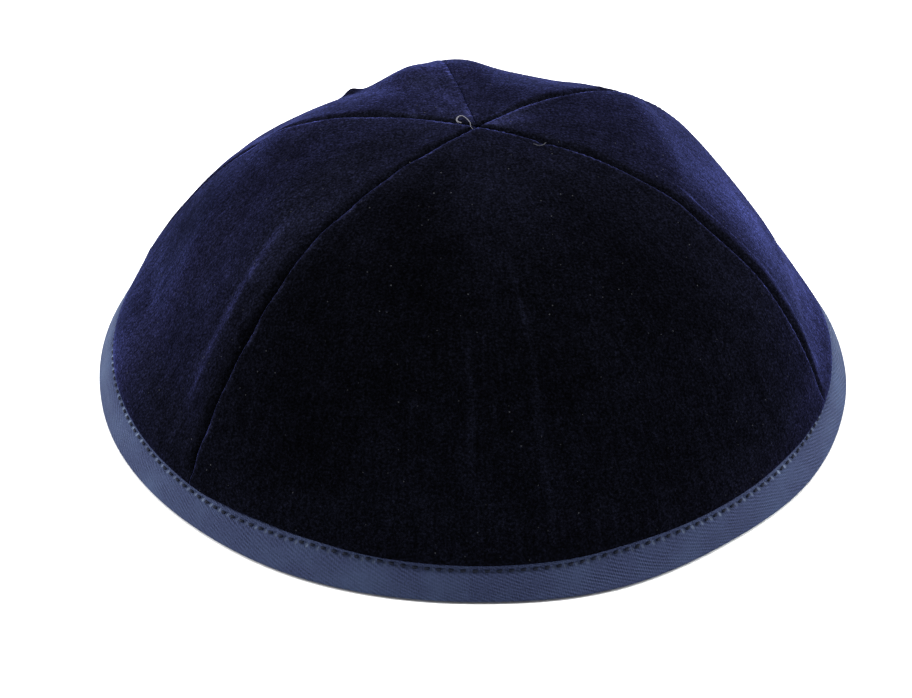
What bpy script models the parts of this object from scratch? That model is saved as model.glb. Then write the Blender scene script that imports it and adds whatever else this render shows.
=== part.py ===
"""A velvet kippah: five cloth panels sewn into a soft dome, with a folded twill binding round its rim.

Metres, +Z up. The origin is the centre of the rim on the surface that the kippah rests on. An azimuth
is measured from the front (-Y) towards the right (+X). Run it with blender --background --python part.py.
"""

import math

import bpy
import numpy as np

# Driving dimensions
rim_diameter = 0.170
crown_height = 0.0613
cloth_wall = 0.0018
binding_width = 0.0082
binding_wall = 0.0010
piece_gap = 0.0003
rest_inset = 0.0004
tape_edge_round = 0.0003

# Seams: the cloth rolls in at each one, and its turned allowance is pressed to one side
seam_roll_width = 0.0022
seam_roll_depth = 0.0010
allowance_width = 0.0062
allowance_rise = 0.0005
allowance_fade = 0.0016

# How the crown sits
front_panel_turn = 13.0
crown_lean_right = 0.0005
crown_lean_back = 0.0020
swell_length = 0.0050
upright_zone = 0.020

# Fineness of the faceted solids
ring_steps = 72
crown_rows = 13
column_turn = 5.5

# The crown's outline, rim to apex, as shares of the rim radius and of the crown height
crown_outline = [
    {"radius": 1.000, "height": 0.000},
    {"radius": 0.948, "height": 0.120},
    {"radius": 0.917, "height": 0.250},
    {"radius": 0.848, "height": 0.420},
    {"radius": 0.744, "height": 0.610},
    {"radius": 0.614, "height": 0.765},
    {"radius": 0.505, "height": 0.870},
    {"radius": 0.288, "height": 0.965},
    {"radius": 0.000, "height": 1.000},
]

# Each seam: its turn from the front panel's middle, how far it stands out half way up and near the top
# (shares of the radius there), and the side its allowance is pressed to (+1 is the way azimuth grows)
seams = [
    {"name": "front_left", "turn": -60.0, "middle": -0.002, "top": 0.045, "pressed": -1},
    {"name": "front_right", "turn": 60.0, "middle": 0.015, "top": -0.011, "pressed": 1},
    {"name": "back_right", "turn": 120.0, "middle": 0.017, "top": -0.019, "pressed": 1},
    {"name": "back", "turn": 180.0, "middle": -0.040, "top": 0.005, "pressed": 1},
    {"name": "back_left", "turn": 240.0, "middle": -0.027, "top": -0.024, "pressed": -1},
]
seam_stops = np.array([0.0, 0.28, 0.58, 1.0])

# Each panel, from its first seam to the next: how flat it is pulled, from 0, an arc, to 1, a chord
panels = [
    {"name": "front_panel", "low": 0.05, "middle": 0.09, "high": 0.26},
    {"name": "right_panel", "low": 0.46, "middle": 0.59, "high": 0.32},
    {"name": "back_right_panel", "low": 0.31, "middle": 0.60, "high": 0.98},
    {"name": "back_left_panel", "low": 0.17, "middle": 0.30, "high": 0.98},
    {"name": "left_panel", "low": 0.42, "middle": 0.36, "high": 0.35},
]
panel_stops = np.array([0.0, 0.13, 0.335, 0.66, 1.0])

# Soft dents: azimuth and reach in degrees, place and reach up the crown as shares of the wall above
# the binding, and depth as a share of the rim radius (negative swells)
dents = [
    {"name": "right_waist", "azimuth": 94.0, "turn_reach": 18.0, "up": 0.05, "up_reach": 0.06, "depth": 0.012},
    {"name": "right_swell", "azimuth": 105.0, "turn_reach": 16.0, "up": 0.20, "up_reach": 0.10, "depth": -0.008},
    {"name": "left_hollow", "azimuth": -70.0, "turn_reach": 9.0, "up": 0.30, "up_reach": 0.17, "depth": 0.007},
    {"name": "back_swell", "azimuth": 188.0, "turn_reach": 13.0, "up": 0.54, "up_reach": 0.12, "depth": -0.010},
    {"name": "back_hollow", "azimuth": 214.0, "turn_reach": 14.0, "up": 0.50, "up_reach": 0.12, "depth": 0.008},
    {"name": "front_swell", "azimuth": 38.0, "turn_reach": 15.0, "up": 0.38, "up_reach": 0.18, "depth": -0.006},
    {"name": "front_hollow", "azimuth": 8.0, "turn_reach": 12.0, "up": 0.62, "up_reach": 0.16, "depth": 0.008},
]

rim_radius = rim_diameter / 2
pinch = binding_wall + piece_gap
binding_stack = 2 * pinch + cloth_wall
roll_depth = min(seam_roll_depth, 0.6 * cloth_wall)


def smooth(x):
    """Ease from 0 to 1 as x goes from 0 to 1."""
    x = np.clip(x, 0.0, 1.0)
    return x * x * (3 - 2 * x)


def eased(x, stops, levels):
    """The level at x, easing smoothly from each stop to the next."""
    levels = np.asarray(levels)
    first = np.clip(np.searchsorted(stops, x, side="right") - 1, 0, len(stops) - 2)
    part = smooth((x - stops[first]) / (stops[first + 1] - stops[first]))
    return levels[first] * (1 - part) + levels[first + 1] * part


def outline_curve():
    """Points of a smooth curve through the crown's outline, rim to apex, and their distances up the wall."""
    rows = np.array([[row["radius"] * rim_radius, row["height"] * crown_height] for row in crown_outline])
    before = 2 * rows[0] - rows[1]
    after = rows[-2] * (-1, 1)
    knots = np.vstack([before, rows, after])
    points = []
    for a, b, c, d in zip(knots, knots[1:], knots[2:], knots[3:]):
        for x in np.linspace(0, 1, 24, endpoint=False):
            points.append(0.5 * (2 * b + (c - a) * x + (2 * a - 5 * b + 4 * c - d) * x**2
                                 + (3 * b - a - 3 * c + d) * x**3))
    points.append(rows[-1])
    points = np.array(points)
    steps = np.linalg.norm(np.diff(points, axis=0), axis=1)
    return points, np.concatenate([[0], np.cumsum(steps)])


outline, outline_distance = outline_curve()
wall_length = outline_distance[-1]
outline_slope = np.gradient(outline, outline_distance, axis=0)


def wall_point(up):
    """Radius and height of the nominal crown at a distance up its wall."""
    return tuple(np.interp(up, outline_distance, outline[:, k]) for k in (0, 1))


def inward_step(up):
    """The (radius, height) step that goes one unit of thickness inwards. It is level at the rim, so that
    everything there is cut parallel to the surface, and square to the wall above the upright zone."""
    along = np.stack([np.interp(up, outline_distance, outline_slope[:, k]) for k in (0, 1)], -1)
    along /= np.linalg.norm(along, axis=-1, keepdims=True)
    square = np.stack([-along[..., 1], along[..., 0]], -1)
    share = smooth(np.asarray(up) / upright_zone)[..., None]
    way = square * share + np.array([-1.0, 0.0]) * (1 - share)
    return way / np.sum(way * square, -1, keepdims=True)


def above_binding(up):
    """Share of the wall above the binding that lies below this point."""
    return np.clip((up - binding_width) / (wall_length - binding_width), 0, 1)


def seam_azimuth(index):
    return front_panel_turn + seams[index % len(seams)]["turn"] + 360.0 * (index // len(seams))


def radius_factor(index, azimuth, up):
    """How far panel number index lies out at an azimuth, as a share of the nominal radius."""
    start, end = seam_azimuth(index), seam_azimuth(index + 1)
    share = above_binding(up)
    across = 0.5 - 0.5 * np.cos(np.pi * (azimuth - start) / (end - start))
    near, far = seams[index], seams[(index + 1) % len(seams)]
    out_near = eased(share, seam_stops, [0, near["middle"], near["top"], near["top"]])
    out_far = eased(share, seam_stops, [0, far["middle"], far["top"], far["top"]])
    panel = panels[index]
    flat = eased(share, panel_stops, [0, panel["low"], panel["middle"], panel["high"], panel["high"]])
    half = math.radians(end - start) / 2
    chord = math.cos(half) / np.cos(np.radians(azimuth - (start + end) / 2))
    return (1 + out_near * (1 - across) + out_far * across) * (1 - flat + flat * chord)


def dent_depth(azimuth, up):
    """Depth of the soft dents at a place on the crown."""
    share = above_binding(up)
    depth = 0.0
    for dent in dents:
        turn = (azimuth - dent["azimuth"] + 180.0) % 360.0 - 180.0
        away = (turn / dent["turn_reach"]) ** 2 + ((share - dent["up"]) / dent["up_reach"]) ** 2
        depth = depth + dent["depth"] * rim_radius * np.exp(-away)
    return depth * smooth(share / 0.06)


def seam_relief(near_edge, far_edge, room, up, near_pressed, far_pressed):
    """Depth of a panel's face beside its seams: it rolls in at each, and rises over a pressed allowance."""
    shown = smooth((up - binding_width) / swell_length)
    depth = 0.0
    for edge, pressed in ((near_edge, near_pressed), (far_edge, far_pressed)):
        reach = np.minimum(1.0, 0.4 * room / (allowance_width + allowance_fade))
        rolled = np.clip(1 - edge / (seam_roll_width * reach), 0, 1)
        depth = depth + roll_depth * (1 - np.sqrt(1 - rolled**2))
        if pressed:
            past = (edge - allowance_width * reach) / (allowance_fade * reach)
            depth = depth - allowance_rise * reach * (1 - smooth(past)) * smooth(2 * edge / (seam_roll_width * reach))
    return depth * shown


def leaned(points):
    """The crown leans a little back and to the right above the binding."""
    low = wall_point(binding_width)[1]
    share = np.clip((points[..., 2] - low) / (crown_height - low), 0, None) ** 1.5
    points[..., 0] += crown_lean_right * share
    points[..., 1] += crown_lean_back * share
    return points


def crown_point(index, azimuth, up, depth):
    """A point at a depth under the face of panel number index."""
    radius, height = wall_point(up)
    step = inward_step(up)
    depth = depth + dent_depth(azimuth, up)
    radius = radius * radius_factor(index, azimuth, up) + depth * step[..., 0]
    height = height + depth * step[..., 1]
    turn = np.radians(azimuth)
    return leaned(np.stack([radius * np.sin(turn), -radius * np.cos(turn), height], -1))


def face_depth(up):
    """Depth of the cloth's outer face: pinched in by the binding, then swelling out above it."""
    return pinch * (1 - smooth((up - binding_width - piece_gap) / swell_length))


def panel_rows():
    """Distances up the wall of a panel's rows, from its cut edge in the binding to just short of the tip."""
    bound = [pinch, 0.5 * (pinch + binding_width), binding_width + piece_gap]
    swelling = [binding_width + piece_gap + swell_length * part for part in (0.3, 0.65, 1.0)]
    last = wall_length - 0.04 * rim_radius
    crown = np.linspace(swelling[-1], last, crown_rows)[1:]
    return np.array(bound + swelling + list(crown))


def panel_columns(index, room):
    """Distances from a panel's first seam of its columns, close together where the cloth rolls or steps."""
    reach = min(1.0, 0.4 * room / (allowance_width + allowance_fade))
    roll = [seam_roll_width * reach * part for part in (0.0, 0.25, 0.6, 1.0)]
    step = [allowance_width * reach, (allowance_width + allowance_fade) * reach]
    near = roll + (step if seams[index]["pressed"] > 0 else [])
    far = roll + (step if seams[(index + 1) % len(seams)]["pressed"] < 0 else [])
    span = seam_azimuth(index + 1) - seam_azimuth(index)
    inner = np.linspace(near[-1], room - far[-1], round(span / column_turn) - 2)[1:-1]
    return np.array(near + list(inner) + [room - edge for edge in reversed(far)])


def build_panel(index):
    """One panel: an outer and an inner face lofted row by row from its cut edge to its tip."""
    start, end = seam_azimuth(index), seam_azimuth(index + 1)
    near_pressed = seams[index]["pressed"] > 0
    far_pressed = seams[(index + 1) % len(seams)]["pressed"] < 0
    outer, inner = [], []
    for up in panel_rows():
        radius = wall_point(up)[0]
        aside = math.degrees(math.asin(piece_gap / 2 / radius))
        room = math.radians(end - start - 2 * aside) * radius
        across = panel_columns(index, room)
        azimuth = start + aside + np.degrees(across / radius)
        relief = seam_relief(across, room - across, room, up, near_pressed, far_pressed)
        face = face_depth(up)
        level = np.full_like(across, up)
        outer.append(crown_point(index, azimuth, level, face + relief))
        inner.append(crown_point(index, azimuth, level, face + cloth_wall))
    middle = (start + end) / 2
    tip_radius = piece_gap / 2 / math.sin(math.radians(end - start) / 2)
    tip_up = wall_length - tip_radius
    tips = [crown_point(index, middle, tip_up, depth) for depth in (roll_depth, cloth_wall)]
    return loft_wall(panels[index]["name"], np.array(outer), np.array(inner), tips)


def loft_wall(name, outer, inner, tips):
    """A closed wall between two grids of points, whose last rows run together in a tip."""
    rows, columns = outer.shape[:2]
    points = np.vstack([outer.reshape(-1, 3), inner.reshape(-1, 3), tips])
    below = rows * columns
    outer_tip, inner_tip = 2 * below, 2 * below + 1
    faces = []
    for r in range(rows - 1):
        for c in range(columns - 1):
            a = r * columns + c
            b = a + columns
            faces.append((a, a + 1, b + 1, b))
            faces.append((a + below, b + below, b + 1 + below, a + 1 + below))
    last = (rows - 1) * columns
    for c in range(columns - 1):
        a = last + c
        faces.append((a, a + 1, outer_tip))
        faces.append((a + below, inner_tip, a + 1 + below))
        faces.append((c, c + below, c + 1 + below, c + 1))
    for r in range(rows - 1):
        a, b = r * columns, (r + 1) * columns
        faces.append((a, b, b + below, a + below))
        a, b = a + columns - 1, b + columns - 1
        faces.append((a, a + below, b + below, b))
    faces.append((last, outer_tip, inner_tip, last + below))
    right = last + columns - 1
    faces.append((right, right + below, inner_tip, outer_tip))
    mesh = bpy.data.meshes.new(name)
    mesh.from_pydata([tuple(map(float, p)) for p in points], [], faces)
    mesh.validate()
    return mesh


def binding_section():
    """(radius, height) points of the folded tape: down its outer side, under the cloth and up inside."""
    top = binding_width
    soft = tape_edge_round
    fold = rest_inset
    stations = [
        (soft, top), (0.0, top - soft), (0.0, 0.66 * top), (0.0, 0.33 * top), (0.0, fold),
        (0.3 * rest_inset, 0.3 * fold), (rest_inset, 0.0),
        (binding_stack - rest_inset, 0.0), (binding_stack - 0.3 * rest_inset, 0.3 * fold),
        (binding_stack, fold), (binding_stack, 0.5 * top), (binding_stack, top - soft),
        (binding_stack - soft, top), (binding_stack - binding_wall, top),
        (binding_stack - binding_wall, 0.5 * top), (binding_stack - binding_wall, binding_wall),
        (binding_wall, binding_wall), (binding_wall, 0.33 * top), (binding_wall, 0.66 * top),
        (binding_wall, top),
    ]
    section = []
    for depth, up in stations:
        radius, height = wall_point(up)
        step = inward_step(up)
        section.append((float(radius + depth * step[0]), 0.0, float(height + depth * step[1])))
    return section


def build_binding():
    """The tape's folded section, turned round the rim by a Screw modifier."""
    section = binding_section()
    mesh = bpy.data.meshes.new("rim_binding")
    edges = [(i, (i + 1) % len(section)) for i in range(len(section))]
    mesh.from_pydata(section, edges, [])
    return mesh


def cloth_material(name, colour, roughness, sheen):
    """A plain Principled cloth finish."""
    material = bpy.data.materials.new(name)
    material.use_nodes = True
    shader = material.node_tree.nodes["Principled BSDF"]
    shader.inputs["Base Color"].default_value = (*colour, 1.0)
    shader.inputs["Roughness"].default_value = roughness
    shader.inputs["Sheen Weight"].default_value = sheen
    material.diffuse_color = (*colour, 1.0)
    return material


def add_object(name, mesh, material, collection):
    item = bpy.data.objects.new(name, mesh)
    collection.objects.link(item)
    mesh.materials.append(material)
    mesh.shade_smooth()
    mesh.set_sharp_from_angle(angle=math.radians(40))
    return item


def main():
    for item in list(bpy.data.objects):
        bpy.data.objects.remove(item, do_unlink=True)
    collection = bpy.data.collections.new("kippah")
    bpy.context.scene.collection.children.link(collection)
    velvet = cloth_material("navy_velvet", (0.010, 0.012, 0.045), 0.9, 0.6)
    twill = cloth_material("slate_twill", (0.060, 0.090, 0.220), 0.8, 0.2)
    for index, panel in enumerate(panels):
        add_object(panel["name"], build_panel(index), velvet, collection)
    binding = add_object("rim_binding", build_binding(), twill, collection)
    turned = binding.modifiers.new("turned", "SCREW")
    turned.axis = "Z"
    turned.angle = math.tau
    turned.steps = ring_steps
    turned.render_steps = ring_steps
    turned.use_merge_vertices = True
    turned.merge_threshold = 0.00001
    turned.use_smooth_shade = True


main()
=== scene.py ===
import math

import bpy
import numpy as np
from mathutils import Matrix, Vector


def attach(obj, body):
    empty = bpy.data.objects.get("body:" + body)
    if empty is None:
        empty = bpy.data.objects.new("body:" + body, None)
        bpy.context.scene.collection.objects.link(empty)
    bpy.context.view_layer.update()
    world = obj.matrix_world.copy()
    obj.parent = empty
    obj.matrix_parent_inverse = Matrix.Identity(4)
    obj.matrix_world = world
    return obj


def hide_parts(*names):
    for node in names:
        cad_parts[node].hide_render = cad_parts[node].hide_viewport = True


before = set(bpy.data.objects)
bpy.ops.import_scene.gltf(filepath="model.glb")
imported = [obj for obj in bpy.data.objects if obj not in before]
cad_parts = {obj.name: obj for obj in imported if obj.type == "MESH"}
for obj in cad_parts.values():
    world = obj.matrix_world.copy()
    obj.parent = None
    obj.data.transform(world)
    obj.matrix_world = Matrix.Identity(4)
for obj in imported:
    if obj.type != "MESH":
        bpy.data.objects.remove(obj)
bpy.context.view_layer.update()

# the crown: sizes in metres, turns in degrees from the front (-Y) towards the right (+X)
crown = {
    "rimRadius": 0.085,
    "height": 0.0613,
    "clothWall": 0.0018,
    "bindingWidth": 0.0082,
    "bindingWall": 0.0010,
    "gap": 0.0003,
    "frontTurn": 13.0,
    "leanRight": 0.0005,
    "leanBack": 0.0020,
    "swellLength": 0.0050,      # how soon the cloth swells out above the binding
    "uprightZone": 0.020,       # below this the thickness is taken level, so the rim is cut square
}

# rim to apex, shares of the rim's radius and of the height
crownOutline = [
    (1.000, 0.000), (0.948, 0.120), (0.917, 0.250), (0.848, 0.420), (0.744, 0.610),
    (0.614, 0.765), (0.505, 0.870), (0.288, 0.965), (0.000, 1.000),
]

# turn from the front panel's middle, how far the seam stands out half way up and near the top, and the
# side that its allowance is pressed to, how deep it sinks, and the ridge over the allowance: its distance
# from the seam, its rise and its softness in metres, the stretch of the wall that shows it, and the painted highlight
# along it
seams = [
    {"name": "frontLeft", "turn": -60.3, "middle": -0.002, "top": 0.045, "pressed": -1,
     "deep": 1.0, "width": 0.0098, "rise": 0.00040, "fade": 0.0034, "shown": (0.08, 0.62), "ridgeHighlight": 0.72, "seed": 3},
    {"name": "frontRight", "turn": 59.7, "middle": 0.015, "top": -0.011, "pressed": 1,
     "deep": 1.0, "width": 0.0052, "rise": 0.00060, "fade": 0.0013, "shown": (0.03, 0.60), "ridgeHighlight": 1.1, "seed": 4},
    {"name": "backRight", "turn": 120.0, "middle": 0.017, "top": -0.016, "pressed": 1,
     "deep": 1.0, "width": 0.0070, "rise": 0.00030, "fade": 0.0030, "shown": (0.05, 0.50), "ridgeHighlight": 1.0, "seed": 5},
    {"name": "back", "turn": 179.6, "middle": -0.032, "top": -0.057, "pressed": -1,
     "deep": 0.25, "width": 0.0070, "rise": 0.00030, "fade": 0.0030, "shown": (0.05, 0.45), "ridgeHighlight": 1.0, "seed": 6},
    {"name": "backLeft", "turn": 240.0, "middle": -0.018, "top": -0.004, "pressed": -1,
     "deep": 0.9, "width": 0.0070, "rise": 0.00030, "fade": 0.0030, "shown": (0.05, 0.50), "ridgeHighlight": 1.0, "seed": 8},
]
seamStops = np.array([0.0, 0.28, 0.58, 1.0])

# how flat each panel is pulled, low, half way and high, and its grid's columns and rows
panels = [
    {"name": "frontPanelVelvet", "node": "front_panel", "flat": (0.05, 0.09, 0.26), "columns": 250, "rows": 140},
    {"name": "rightPanelVelvet", "node": "right_panel", "flat": (0.46, 0.59, 0.32), "columns": 150, "rows": 140},
    {"name": "backRightPanelVelvet", "node": "back_right_panel", "flat": (0.31, 0.60, 0.79), "columns": 150, "rows": 140},
    {"name": "backLeftPanelVelvet", "node": "back_left_panel", "flat": (0.17, 0.34, 0.59), "columns": 180,
     "rows": 215},
    {"name": "leftPanelVelvet", "node": "left_panel", "flat": (0.42, 0.36, 0.35), "columns": 150, "rows": 140},
]
panelStops = np.array([0.0, 0.13, 0.335, 0.66, 1.0])

# soft dents: azimuth, reach round, place up the wall, reach up, depth as a share of the rim's radius
dents = [
    (94.0, 18.0, 0.05, 0.06, 0.012),
    (105.0, 16.0, 0.20, 0.10, -0.008),
    (-70.0, 9.0, 0.30, 0.17, 0.007),
    (188.0, 13.0, 0.54, 0.12, -0.010),
    (214.0, 14.0, 0.50, 0.12, 0.008),
    (184.0, 10.0, 0.66, 0.10, -0.016),
    (208.0, 10.0, 0.66, 0.10, -0.029),
    (196.0, 9.0, 0.66, 0.10, -0.006),
    (222.0, 12.0, 0.60, 0.10, 0.005),
    (150.0, 14.0, 0.58, 0.10, 0.007),
    (240.0, 14.0, 0.50, 0.10, 0.006),
    (112.0, 12.0, 0.35, 0.10, 0.003),
    (100.0, 12.0, 0.20, 0.08, 0.008),
    (-101.0, 14.0, 0.18, 0.14, 0.005),
    (222.5, 2.9, 0.54, 0.015, -0.0145),
    (136.5, 1.6, 0.59, 0.010, -0.004),
    (128.0, 12.0, 0.55, 0.13, -0.009),
    (38.0, 15.0, 0.38, 0.18, -0.006),
    (8.0, 12.0, 0.62, 0.16, 0.008),
    (74.5, 5.0, 0.853, 0.010, 0.012),
    (145.0, 6.0, 0.57, 0.08, -0.0045),
    (193.0, 4.0, 0.58, 0.08, 0.0035),
    (183.0, 6.0, 0.59, 0.08, -0.0030),
    (239.0, 8.0, 0.37, 0.08, -0.0028),
    (252.0, 5.0, 0.35, 0.06, 0.0035),
    (133.0, 5.0, 0.44, 0.05, -0.0040),
    (133.0, 4.0, 0.56, 0.05, 0.0030),
    (133.0, 5.0, 0.32, 0.05, 0.0020),
    (103.0, 9.0, 0.15, 0.05, -0.0070),
]
# dents that the binding shares, at heights and depths in metres
hemDents = [(110.0, 8.0, 0.0060, 0.0060, 0.0005), (105.0, 7.0, 0.0120, 0.0035, 0.0009)]

# what the needle and the iron leave in the velvet, in metres
relief = {
    "proudWidth": 0.0010,       # the edge that lies on top rolls in tightly
    "proudDepth": 0.00060,
    "underWidth": 0.0024,       # the pressed side dives under it more softly
    "underDepth": 0.00105,
    "seamSway": 0.00016,
    "insideLap": 0.00003,
    "puckerPitch": 0.0020,
    "puckerReach": 0.0016,
    "puckerDepth": 0.00008,
    "waveDepth": 0.00022,
    "seed": 7,
}

# the velvet's hem rests on the binding's edge and at the sides hangs over it: rows of (cloth above the edge,
# place above the rim, depth), in mm, and the share of the hanging fold by azimuth
restingFold = [
    (0.0, 8.50, 1.30), (0.5, 8.45, 0.85), (1.0, 8.35, 0.38), (1.5, 8.10, 0.00), (2.0, 7.95, -0.16),
    (2.6, 8.15, -0.34), (3.4, 8.85, -0.46), (4.6, 10.1, -0.50), (7.0, 12.9, -0.38), (11.0, 17.6, -0.18),
    (16.0, 23.3, -0.04), (26.0, 34.0, 0.0), (34.0, 42.2, 0.0),
]
hangingFold = [
    (0.0, 8.5, 1.30), (0.5, 8.8, 0.75), (1.0, 8.7, 0.05), (1.6, 8.1, -0.35), (2.3, 7.4, -0.65), (3.0, 7.3, -1.05),
    (4.0, 8.1, -1.35), (6.0, 10.3, -1.25), (10.0, 14.9, -0.65), (16.0, 22.3, -0.15), (26.0, 33.6, 0.0),
    (34.0, 42.2, 0.0),
]
overhangs = [
    (-180, 0.0), (-100, 0.0), (-84, 0.10), (-48, 0.12), (-36, 0.0), (44, 0.0), (56, 0.30), (68, 0.60), (80, 0.55),
    (92, 0.30), (101, 0.15), (112, 0.0), (180, 0.0),
]
# how much higher the binding's top edge and its stitches run than its usual width, in mm by azimuth
edgeRise = [
    (-180, 0.0), (-60, -0.25), (-40, -0.40), (-30, 0.20), (-23, 0.65), (-15, 0.60), (-6, 0.15), (6, 0.0),
    (14, 0.0), (22, 0.55), (32, 0.55), (45, 0.30), (62, 0.0), (180, 0.0),
]

# pressed creases of the front panel: rows of (share up the wall, azimuth), half width and rise
creases = [
    {"path": [(0.00, 12.6), (0.10, 12.5), (0.26, 12.0), (0.38, 12.4), (0.45, 12.0), (0.53, 11.0), (0.75, 8.0)],
     "halfWidth": 0.0006, "rise": 0.00010, "from": 0.02, "to": 0.62},
    {"path": [(0.10, 1.6), (0.20, 0.0), (0.32, 0.0), (0.44, -2.0)],
     "halfWidth": 0.0006, "rise": 0.00006, "from": 0.10, "to": 0.46},
]


def smooth(x):
    x = np.clip(x, 0.0, 1.0)
    return x * x * (3 - 2 * x)


def through(x, stops, levels):
    # a smooth cubic curve through the levels at the stops, with each stop's slope taken from its neighbours
    stops, levels = np.asarray(stops), np.asarray(levels)
    slopes = np.gradient(levels, stops)
    first = np.clip(np.searchsorted(stops, x, side="right") - 1, 0, len(stops) - 2)
    span = stops[first + 1] - stops[first]
    s = np.clip((x - stops[first]) / span, 0, 1)
    return (levels[first] * (1 + 2 * s) * (1 - s)**2 + span * slopes[first] * s * (1 - s)**2
            + levels[first + 1] * s**2 * (3 - 2 * s) - span * slopes[first + 1] * s**2 * (1 - s))


def eased(x, stops, levels):
    # the level at x, easing from each stop to the next
    levels = np.asarray(levels)
    first = np.clip(np.searchsorted(stops, x, side="right") - 1, 0, len(stops) - 2)
    part = smooth((x - stops[first]) / (stops[first + 1] - stops[first]))
    return levels[first] * (1 - part) + levels[first + 1] * part


def byAzimuth(azimuth, rows):
    # the level of a table's rows (azimuth, level) round the crown, eased between the rows
    rows = np.array(rows)
    return eased((azimuth + 180.0) % 360.0 - 180.0, rows[:, 0], rows[:, 1])


# a Catmull-Rom curve through the outline's knots, with its distance from the rim at each point
knots = np.array(crownOutline) * (crown["rimRadius"], crown["height"])
knots = np.vstack([2 * knots[0] - knots[1], knots, knots[-2] * (-1, 1)])
share = np.linspace(0, 1, 24, endpoint=False)[:, None, None]
k0, k1, k2, k3 = knots[:-3], knots[1:-2], knots[2:-1], knots[3:]
curve = 0.5 * (2 * k1 + (k2 - k0) * share + (2 * k0 - 5 * k1 + 4 * k2 - k3) * share**2
               + (3 * k1 - k0 - 3 * k2 + k3) * share**3)
outline = np.vstack([curve.transpose(1, 0, 2).reshape(-1, 2), knots[-2]])
outlineUp = np.concatenate([[0], np.cumsum(np.linalg.norm(np.diff(outline, axis=0), axis=1))])
outlineSlope = np.gradient(outline, outlineUp, axis=0)
wallLength = outlineUp[-1]


def wallPoint(up):
    # radius and height of the plain crown at a distance up its wall
    return np.interp(up, outlineUp, outline[:, 0]), np.interp(up, outlineUp, outline[:, 1])


def inwardStep(up):
    # one unit of thickness inwards: level at the rim, square to the wall above the upright zone
    along = np.stack([np.interp(up, outlineUp, outlineSlope[:, k]) for k in (0, 1)], -1)
    along /= np.linalg.norm(along, axis=-1, keepdims=True)
    square = np.stack([-along[..., 1], along[..., 0]], -1)
    part = smooth(np.asarray(up) / crown["uprightZone"])[..., None]
    way = square * part + np.array([-1.0, 0.0]) * (1 - part)
    return way / np.sum(way * square, -1, keepdims=True)


def aboveBinding(up):
    return np.clip((up - crown["bindingWidth"]) / (wallLength - crown["bindingWidth"]), 0, 1)


def seamAzimuth(index):
    return crown["frontTurn"] + seams[index % 5]["turn"] + 360.0 * (index // 5)


def radiusFactor(index, azimuth, up):
    # the seams' standing out blends across the panel as a half cosine, times a mix of arc and chord
    start, end = seamAzimuth(index), seamAzimuth(index + 1)
    part = aboveBinding(up)
    across = 0.5 - 0.5 * np.cos(np.pi * (azimuth - start) / (end - start))
    near, far = seams[index], seams[(index + 1) % 5]
    outNear = eased(part, seamStops, [0, near["middle"], near["top"], near["top"]])
    outFar = eased(part, seamStops, [0, far["middle"], far["top"], far["top"]])
    low, middle, high = panels[index]["flat"]
    flat = eased(part, panelStops, [0, low, middle, high, high])
    half = math.radians(end - start) / 2
    chord = math.cos(half) / np.cos(np.radians(azimuth - (start + end) / 2))
    return (1 + outNear * (1 - across) + outFar * across) * (1 - flat + flat * chord)


def dentDepth(azimuth, up):
    part = aboveBinding(up)
    depth = np.zeros_like(part * azimuth)
    for turn, turnReach, place, placeReach, deep in dents:
        away = ((azimuth - turn + 180.0) % 360.0 - 180.0) / turnReach
        depth += deep * crown["rimRadius"] * np.exp(-away**2 - ((part - place) / placeReach) ** 2)
    depth = depth * smooth(part / 0.06)
    for turn, turnReach, place, placeReach, deep in hemDents:
        away = ((azimuth - turn + 180.0) % 360.0 - 180.0) / turnReach
        depth += deep * np.exp(-away**2 - ((up - place) / placeReach) ** 2)
    return depth


def softWaves(azimuth, up):
    # a sum of eight seeded sine waves that run round the crown and up it, from -1 to 1
    draw = np.random.default_rng(relief["seed"])
    total = 0.0
    for wave in range(8):
        round_ = draw.integers(3, 15)
        climb = draw.uniform(20, 190)
        start, weight = draw.uniform(0, math.tau), draw.uniform(0.5, 1.0)
        total = total + weight * np.sin(round_ * np.radians(azimuth) + climb * up + start)
    return total / 4


def crownPoint(index, azimuth, up, depth):
    # radius and height of the wall, times the factor, moved inwards by the depth, then leaned
    radius, height = wallPoint(up)
    step = inwardStep(up)
    depth = depth + dentDepth(azimuth, up)
    if index is not None:
        radius = radius * radiusFactor(index, azimuth, up)
    radius = radius + depth * step[..., 0]
    height = height + depth * step[..., 1]
    low = wallPoint(crown["bindingWidth"])[1]
    lean = np.clip((height - low) / (crown["height"] - low), 0, None) ** 1.5
    turn = np.radians(azimuth)
    return np.stack([radius * np.sin(turn) + crown["leanRight"] * lean,
                     -radius * np.cos(turn) + crown["leanBack"] * lean, height], -1)


def gridFaces(rows, columns, first=0, flip=False, ringed=False):
    # quads of a grid of points numbered row by row
    c = np.arange(columns if ringed else columns - 1)
    r = np.arange(rows - 1)[:, None]
    a = first + r * columns + c
    b = first + r * columns + (c + 1) % columns
    quads = np.stack([a, b, b + columns, a + columns], -1).reshape(-1, 4)
    return quads[:, ::-1] if flip else quads


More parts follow.
